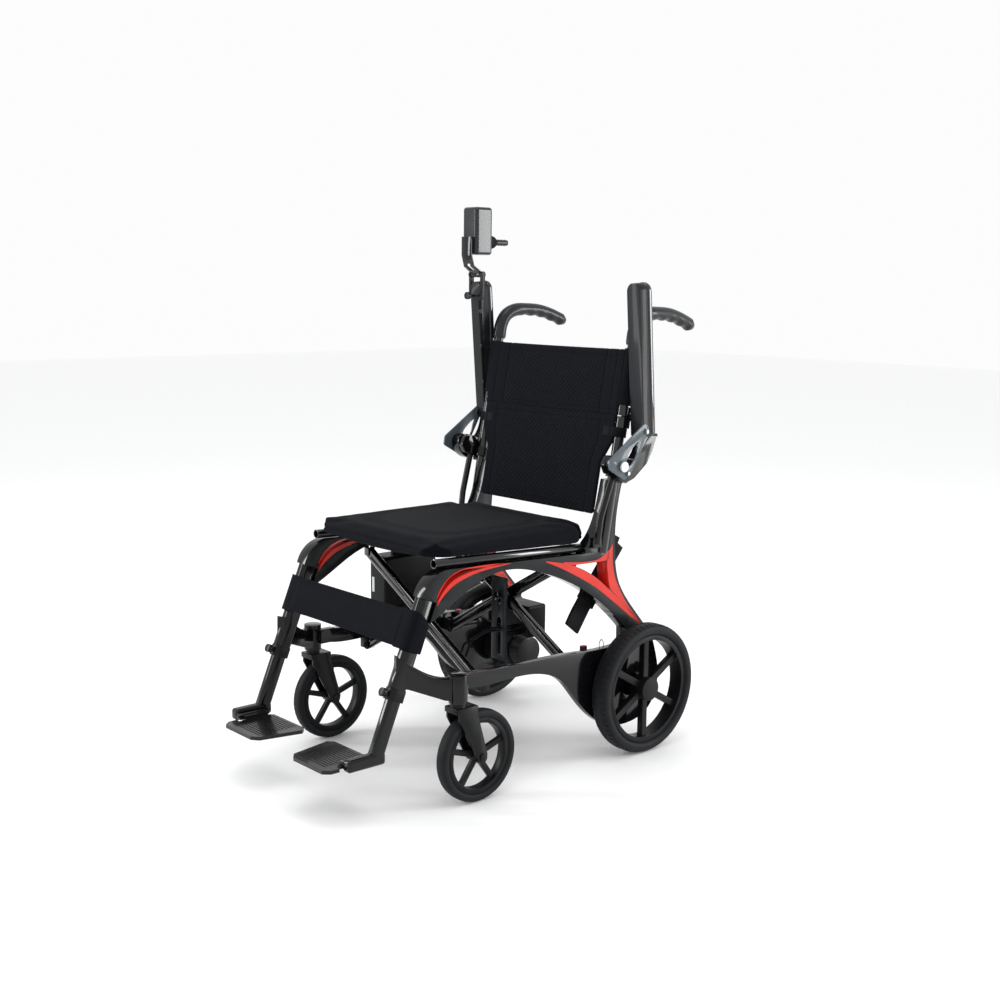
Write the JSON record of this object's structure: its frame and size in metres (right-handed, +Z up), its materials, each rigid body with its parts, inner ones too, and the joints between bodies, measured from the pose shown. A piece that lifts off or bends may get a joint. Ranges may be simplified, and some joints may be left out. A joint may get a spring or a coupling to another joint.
{
  "type": "folding powered wheelchair",
  "caption": "Folding powered wheelchair with arched side frames, scissor brace, flip-up armrests, joystick, slide-in battery and hinged footplates.",
  "frame": {"origin": "on the floor, on the centreline, midway between the footplates' front edge and the push handles' tips", "axes": "+X to the sitter's left, +Y to the rear, +Z up; the chair faces -Y"},
  "size_m": [0.606, 1.0419, 1.262],
  "materials": {
    "frame_black": "high-gloss black coat on cast magnesium and alloy tube",
    "hardware_black": "satin black coat",
    "seat_tube": "gloss black tube",
    "brace_black": "satin black with a bright bolt",
    "rim_black": "moulded satin black",
    "tyre_black": "solid tread, dull black",
    "plate_black": "moulded, ribbed top",
    "lever_red": "red tipped lever",
    "grip_black": "soft moulded grip",
    "pad_black": "soft self-skinned foam",
    "button_grey": "pale grey",
    "key_grey": "grey keys",
    "stick_black": "dull black",
    "box_black": "fine-textured black",
    "loom_black": "sleeved cable",
    "cloth_black": "woven mesh over foam",
    "webbing_black": "flat webbing"
  },
  "bodies": {
    "left_frame": {"left_side_frame": "frame_black", "left_front_leg": "frame_black", "left_lower_rail": "frame_black", "left_frame_hardware": "hardware_black", "left_motor": "hardware_black", "left_post_lower": "frame_black", "left_armrest_bracket": "hardware_black", "sling_lower": "cloth_black", "calf_strap": "cloth_black", "seat_belt": "webbing_black"},
    "right_frame": {"right_side_frame": "frame_black", "right_front_leg": "frame_black", "right_lower_rail": "frame_black", "right_frame_hardware": "hardware_black", "right_motor": "hardware_black", "right_post_lower": "frame_black", "right_armrest_bracket": "hardware_black"},
    "brace_a": {"brace_arms_a": "brace_black", "right_seat_rail": "seat_tube"},
    "brace_b": {"brace_arms_b": "brace_black", "left_seat_rail": "seat_tube"},
    "hanger": {"hanger_plate": "brace_black", "controller_box": "box_black", "wiring_loom": "loom_black"},
    "seat": {"seat_cushion": "cloth_black"},
    "left_back": {"left_post_upper": "frame_black", "left_push_grip": "grip_black", "sling_upper": "cloth_black"},
    "right_back": {"right_post_upper": "frame_black", "right_push_grip": "grip_black"},
    "left_armrest": {"left_armrest_arm": "frame_black", "left_arm_pad": "pad_black"},
    "right_armrest": {"right_armrest_arm": "frame_black", "right_arm_pad": "pad_black", "joystick_cable": "loom_black"},
    "joystick_mount": {"joystick_bracket": "hardware_black", "joystick_housing": "box_black"},
    "gimbal": {"joystick_gimbal": "stick_black"},
    "stick": {"joystick_stick": "stick_black"},
    "power_key": {"power_button": "key_grey"},
    "speed_key": {"speed_button": "key_grey"},
    "battery_pack": {"battery": "box_black"},
    "left_lock_button": {"left_armrest_button": "button_grey"},
    "left_caster_swivel": {"left_caster_fork": "hardware_black"},
    "left_caster_wheel": {"left_caster_rim": "rim_black", "left_caster_tyre": "tyre_black"},
    "left_drive_wheel": {"left_drive_rim": "rim_black", "left_drive_tyre": "tyre_black"},
    "left_freewheel_lever": {"left_clutch_lever": "lever_red"},
    "left_footrest": {"left_foot_tube": "frame_black"},
    "left_foot_platform": {"left_footplate": "plate_black"},
    "right_lock_button": {"right_armrest_button": "button_grey"},
    "right_caster_swivel": {"right_caster_fork": "hardware_black"},
    "right_caster_wheel": {"right_caster_rim": "rim_black", "right_caster_tyre": "tyre_black"},
    "right_drive_wheel": {"right_drive_rim": "rim_black", "right_drive_tyre": "tyre_black"},
    "right_freewheel_lever": {"right_clutch_lever": "lever_red"},
    "right_footrest": {"right_foot_tube": "frame_black"},
    "right_foot_platform": {"right_footplate": "plate_black"}
  },
  "joints": [
    {"name": "fold", "type": "hinge", "parent": "left_frame", "child": "brace_a", "pos_m": [0.213, 0, 0.228], "axis": [0, 1, 0], "range_deg": [0, 34], "deforming": ["seat_cushion", "sling_lower", "sling_upper", "calf_strap"]},
    {"name": "brace_scissor", "type": "hinge", "parent": "brace_a", "child": "brace_b", "pos_m": [0, 0, 0.35], "axis": [0, 1, 0], "range_deg": [-68, 0]},
    {"name": "right_frame_pivot", "type": "hinge", "parent": "brace_b", "child": "right_frame", "pos_m": [-0.213, 0, 0.228], "axis": [0, 1, 0], "range_deg": [0, 34]},
    {"name": "hanger_pivot", "type": "hinge", "parent": "brace_a", "child": "hanger", "pos_m": [0, 0.133, 0.35], "axis": [0, 1, 0], "range_deg": [-34, 0]},
    {"name": "seat_pivot", "type": "hinge", "parent": "brace_b", "child": "seat", "pos_m": [0.213, 0, 0.5], "axis": [0, 1, 0], "range_deg": [0, 34]},
    {"name": "back_fold", "type": "hinge", "parent": "left_frame", "child": "left_back", "pos_m": [0.227, 0.28929, 0.7803], "axis": [1, 0, 0], "range_deg": [-110, 0]},
    {"name": "right_back_fold", "type": "hinge", "parent": "right_frame", "child": "right_back", "pos_m": [-0.227, 0.28929, 0.7803], "axis": [1, 0, 0], "range_deg": [-110, 0]},
    {"name": "left_armrest_fold", "type": "hinge", "parent": "left_frame", "child": "left_armrest", "pos_m": [0.267, 0.215, 0.679], "axis": [1, 0, 0], "range_deg": [0, 94]},
    {"name": "left_lock_button_press", "type": "slide", "parent": "left_armrest", "child": "left_lock_button", "axis": [-1, 0, 0], "range_m": [0, 0.003], "stiffness_N_per_m": 400},
    {"name": "right_armrest_fold", "type": "hinge", "parent": "right_frame", "child": "right_armrest", "pos_m": [-0.267, 0.215, 0.679], "axis": [1, 0, 0], "range_deg": [0, 94]},
    {"name": "right_lock_button_press", "type": "slide", "parent": "right_armrest", "child": "right_lock_button", "axis": [1, 0, 0], "range_m": [0, 0.003], "stiffness_N_per_m": 400},
    {"name": "joystick_tilt", "type": "hinge", "parent": "right_armrest", "child": "joystick_mount", "pos_m": [-0.267, 0.262, 1.098], "axis": [1, 0, 0], "range_deg": [-20, 20]},
    {"name": "stick_fore_aft", "type": "hinge", "parent": "joystick_mount", "child": "gimbal", "pos_m": [-0.267, 0.282, 1.178], "axis": [1, 0, 0], "range_deg": [-12, 12], "stiffness_Nm_per_rad": 0.5},
    {"name": "stick_side", "type": "hinge", "parent": "gimbal", "child": "stick", "pos_m": [-0.267, 0.282, 1.178], "axis": [0, 0, 1], "range_deg": [-12, 12], "stiffness_Nm_per_rad": 0.5},
    {"name": "power_press", "type": "slide", "parent": "joystick_mount", "child": "power_key", "axis": [0, -1, 0], "range_m": [0, 0.001], "stiffness_N_per_m": 400},
    {"name": "speed_press", "type": "slide", "parent": "joystick_mount", "child": "speed_key", "axis": [0, -1, 0], "range_m": [0, 0.001], "stiffness_N_per_m": 400},
    {"name": "battery_slide", "type": "slide", "parent": "right_frame", "child": "battery_pack", "axis": [-1, 0, 0], "range_m": [0, 0.12]},
    {"name": "left_caster_turn", "type": "hinge", "parent": "left_frame", "child": "left_caster_swivel", "pos_m": [0.266, -0.238, 0.252], "axis": [0, 0, 1], "continuous": true},
    {"name": "left_caster_spin", "type": "hinge", "parent": "left_caster_swivel", "child": "left_caster_wheel", "pos_m": [0.266, -0.188, 0.1], "axis": [1, 0, 0], "continuous": true},
    {"name": "left_drive_spin", "type": "hinge", "parent": "left_frame", "child": "left_drive_wheel", "pos_m": [0.279, 0.313, 0.152], "axis": [1, 0, 0], "continuous": true},
    {"name": "left_freewheel", "type": "hinge", "parent": "left_frame", "child": "left_freewheel_lever", "pos_m": [0.2195, 0.24, 0.222], "axis": [1, 0, 0], "range_deg": [-20, 0]},
    {"name": "left_footrest_slide", "type": "slide", "parent": "left_frame", "child": "left_footrest", "axis": [0, 0.3795, 0.9252], "range_m": [-0.04, 0.05]},
    {"name": "left_footplate_fold", "type": "hinge", "parent": "left_footrest", "child": "left_foot_platform", "pos_m": [0.194, -0.45, 0.127], "axis": [0, 1, 0], "range_deg": [0, 90]},
    {"name": "right_caster_turn", "type": "hinge", "parent": "right_frame", "child": "right_caster_swivel", "pos_m": [-0.266, -0.238, 0.252], "axis": [0, 0, 1], "continuous": true},
    {"name": "right_caster_spin", "type": "hinge", "parent": "right_caster_swivel", "child": "right_caster_wheel", "pos_m": [-0.266, -0.188, 0.1], "axis": [1, 0, 0], "continuous": true},
    {"name": "right_drive_spin", "type": "hinge", "parent": "right_frame", "child": "right_drive_wheel", "pos_m": [-0.279, 0.313, 0.152], "axis": [1, 0, 0], "continuous": true},
    {"name": "right_freewheel", "type": "hinge", "parent": "right_frame", "child": "right_freewheel_lever", "pos_m": [-0.2195, 0.24, 0.222], "axis": [1, 0, 0], "range_deg": [-20, 0]},
    {"name": "right_footrest_slide", "type": "slide", "parent": "right_frame", "child": "right_footrest", "axis": [0, 0.3795, 0.9252], "range_m": [-0.04, 0.05]},
    {"name": "right_footplate_fold", "type": "hinge", "parent": "right_footrest", "child": "right_foot_platform", "pos_m": [-0.194, -0.45, 0.127], "axis": [0, -1, 0], "range_deg": [0, 90]}
  ],
  "couplings": [
    {"joint": "brace_scissor", "follows": "fold", "ratio": -2},
    {"joint": "right_frame_pivot", "follows": "fold", "ratio": 1},
    {"joint": "hanger_pivot", "follows": "fold", "ratio": -1},
    {"joint": "seat_pivot", "follows": "fold", "ratio": 1},
    {"joint": "left_footplate_fold", "follows": "fold", "ratio": 2.647},
    {"joint": "right_footplate_fold", "follows": "fold", "ratio": 2.647},
    {"joint": "right_back_fold", "follows": "back_fold", "ratio": 1}
  ]
}
